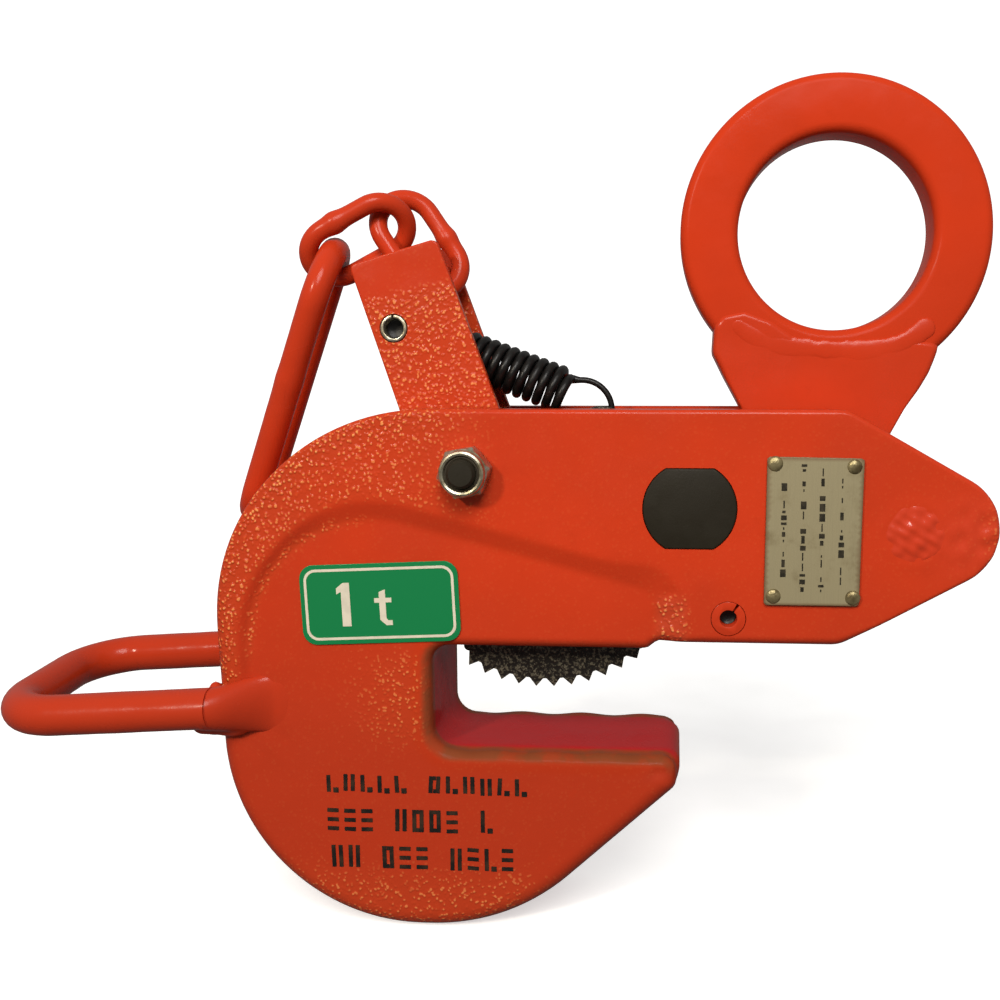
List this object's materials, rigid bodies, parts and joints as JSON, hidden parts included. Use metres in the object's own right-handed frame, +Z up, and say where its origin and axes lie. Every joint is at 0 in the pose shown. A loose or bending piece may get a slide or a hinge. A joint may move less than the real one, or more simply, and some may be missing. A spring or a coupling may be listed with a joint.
{
  "type": "plate lifting clamp",
  "caption": "Forged C-frame clamp for lifting steel plate: toothed cam worked by a lifting ring, sprung lock lever with chain and pull loop, carry handle",
  "frame": {"origin": "Centre of the lower jaw's flat gripping face, on the clamp's middle plane.", "axes": "+Z is up, along the pull on the lifting ring and out of the jaw face; +X runs along the arm to the nose; +Y runs to the rear face, away from the face with the name plate and lock nut."},
  "size_m": [0.2844, 0.0668, 0.2416],
  "materials": {
    "orange_cast": "orange-red paint over a coarse forged skin",
    "orange_smooth": "glossy orange-red paint",
    "black_steel": "blackened steel pin",
    "black_cam": "hardened black steel with a grainy face",
    "spring_steel": "black satin spring wire",
    "zinc_steel": "zinc-plated steel",
    "bronze": "plain bearing bronze",
    "nylon": "white nylon",
    "plate_metal": "dull olive-grey etched plate",
    "label_green": "green adhesive label with a pale border"
  },
  "bodies": {
    "frame": {"frame_casting": "orange_cast", "nose_filler": "orange_smooth", "nose_plug_front": "orange_smooth", "nose_plug_rear": "orange_smooth", "carry_handle": "orange_smooth", "handle_weld_front": "orange_smooth", "handle_weld_rear": "orange_smooth", "main_pin": "black_steel", "cam_spacer_front": "bronze", "cam_spacer_rear": "bronze", "stop_pin": "orange_smooth", "pivot_bolt": "zinc_steel", "lock_nut": "zinc_steel", "nut_nylon_ring": "nylon", "name_plate": "plate_metal", "plate_rivet_1": "zinc_steel", "plate_rivet_2": "zinc_steel", "plate_rivet_3": "zinc_steel", "plate_rivet_4": "zinc_steel", "capacity_label": "label_green"},
    "cam": {"toothed_cam": "black_cam", "cam_bush": "bronze", "spring_anchor_pin": "black_steel"},
    "ring": {"lifting_ring": "orange_smooth", "ring_shank": "orange_smooth", "ring_weld_front": "orange_smooth", "ring_weld_rear": "orange_smooth", "link_pin": "black_steel"},
    "lever": {"lever_front_plate": "orange_cast", "lever_rear_plate": "orange_cast", "lever_cross_bar": "orange_smooth", "lever_bush": "zinc_steel", "lever_spring_pin": "zinc_steel", "tension_spring": "spring_steel"},
    "first_link": {"first_chain_link": "orange_smooth"},
    "second_link": {"second_chain_link": "orange_smooth"},
    "pull_loop": {"pull_loop": "orange_smooth"}
  },
  "joints": [
    {"name": "cam_pivot", "type": "hinge", "parent": "frame", "child": "cam", "pos_m": [0.035, 0, 0.0702], "axis": [0, -1, 0], "range_deg": [-16, 18]},
    {"name": "ring_pivot", "type": "hinge", "parent": "cam", "child": "ring", "pos_m": [0.0705, 0, 0.07], "axis": [0, 1, 0], "range_deg": [-8, 8]},
    {"name": "lever_pivot", "type": "hinge", "parent": "frame", "child": "lever", "pos_m": [-0.026, 0, 0.08], "axis": [0, 1, 0], "range_deg": [0, 22], "deforming": ["tension_spring"]},
    {"name": "first_link_pivot", "type": "hinge", "parent": "lever", "child": "first_link", "pos_m": [-0.0385, 0, 0.136], "axis": [0, 1, 0], "range_deg": [0, 30]},
    {"name": "second_link_pivot", "type": "hinge", "parent": "first_link", "child": "second_link", "pos_m": [-0.0514, -0.0012, 0.1554], "axis": [0, 1, 0], "range_deg": [0, 17]},
    {"name": "pull_loop_pivot", "type": "hinge", "parent": "second_link", "child": "pull_loop", "pos_m": [-0.0669, -0.0042, 0.1413], "axis": [0.158, 0.977, 0.143], "range_deg": [0, 25]}
  ]
}
